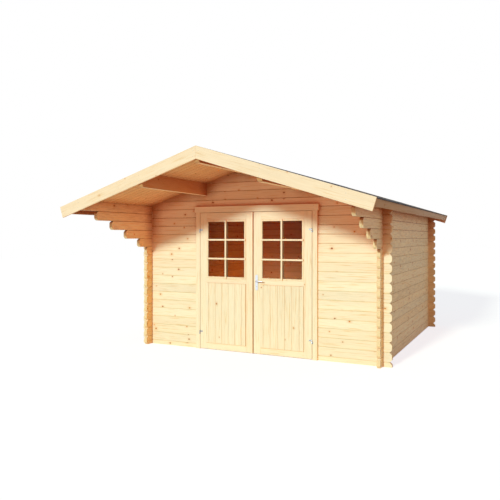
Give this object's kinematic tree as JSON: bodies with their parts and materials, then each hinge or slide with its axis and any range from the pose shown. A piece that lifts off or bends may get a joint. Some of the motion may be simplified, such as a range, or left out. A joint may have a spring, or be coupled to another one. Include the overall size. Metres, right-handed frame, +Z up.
{
  "type": "garden shed",
  "caption": "Log-built garden shed with crossed, notched corners, a low gable roof that runs far out over the front, stepped corbel logs and a glazed double door with a lever handle.",
  "frame": {"origin": "on the ground under the middle of the roof, halfway along and across the building", "axes": "+Z up, +Y from the door front to the back, +X to the right seen from the front"},
  "size_m": [4.07, 5.2, 2.6079],
  "materials": {
    "log_pine": "planed, untreated",
    "roof_pine": "planed, untreated",
    "joinery_pine": "planed, untreated",
    "trim_pine": "planed, untreated",
    "felt": "mineral-faced felt",
    "glass": "clear",
    "steel": "satin"
  },
  "bodies": {
    "cabin": {"left_wall": "log_pine", "right_wall": "log_pine", "left_corbel_logs": "log_pine", "right_corbel_logs": "log_pine", "front_wall_left": "log_pine", "front_wall_right": "log_pine", "front_gable": "log_pine", "back_wall": "log_pine", "back_gable": "log_pine", "ridge_purlin": "roof_pine", "left_purlin": "roof_pine", "right_purlin": "roof_pine", "left_roof_boards": "roof_pine", "right_roof_boards": "roof_pine", "left_roof_felt": "felt", "right_roof_felt": "felt", "front_left_barge_board": "trim_pine", "front_right_barge_board": "trim_pine", "back_left_barge_board": "trim_pine", "back_right_barge_board": "trim_pine", "left_eave_board": "trim_pine", "right_eave_board": "trim_pine", "left_door_post": "joinery_pine", "right_door_post": "joinery_pine", "door_stops": "joinery_pine", "door_head": "joinery_pine", "head_casings": "joinery_pine", "threshold": "joinery_pine", "hinge_pins": "steel"},
    "left_door": {"left_door_stiles": "joinery_pine", "left_door_rails": "joinery_pine", "left_door_panel": "joinery_pine", "left_door_beads": "joinery_pine", "left_door_glass": "glass", "left_door_hinges": "steel", "cover_strip": "joinery_pine"},
    "right_door": {"right_door_stiles": "joinery_pine", "right_door_rails": "joinery_pine", "right_door_panel": "joinery_pine", "right_door_beads": "joinery_pine", "right_door_glass": "glass", "right_door_hinges": "steel", "handle_plates": "steel"},
    "door_handle": {"lever_handle": "steel"}
  },
  "joints": [
    {"name": "left_door_hinge", "type": "hinge", "parent": "cabin", "child": "left_door", "pos_m": [-0.8405, -1.1385, 0.95], "axis": [0, 0, -1], "range_deg": [0, 165]},
    {"name": "right_door_hinge", "type": "hinge", "parent": "cabin", "child": "right_door", "pos_m": [0.8405, -1.1385, 0.95], "axis": [0, 0, 1], "range_deg": [0, 165]},
    {"name": "lever_turn", "type": "hinge", "parent": "right_door", "child": "door_handle", "pos_m": [0.052, -1.13, 0.988], "axis": [0, 1, 0], "range_deg": [0, 40], "stiffness_Nm_per_rad": 1.5, "springref_deg": -20.05}
  ]
}
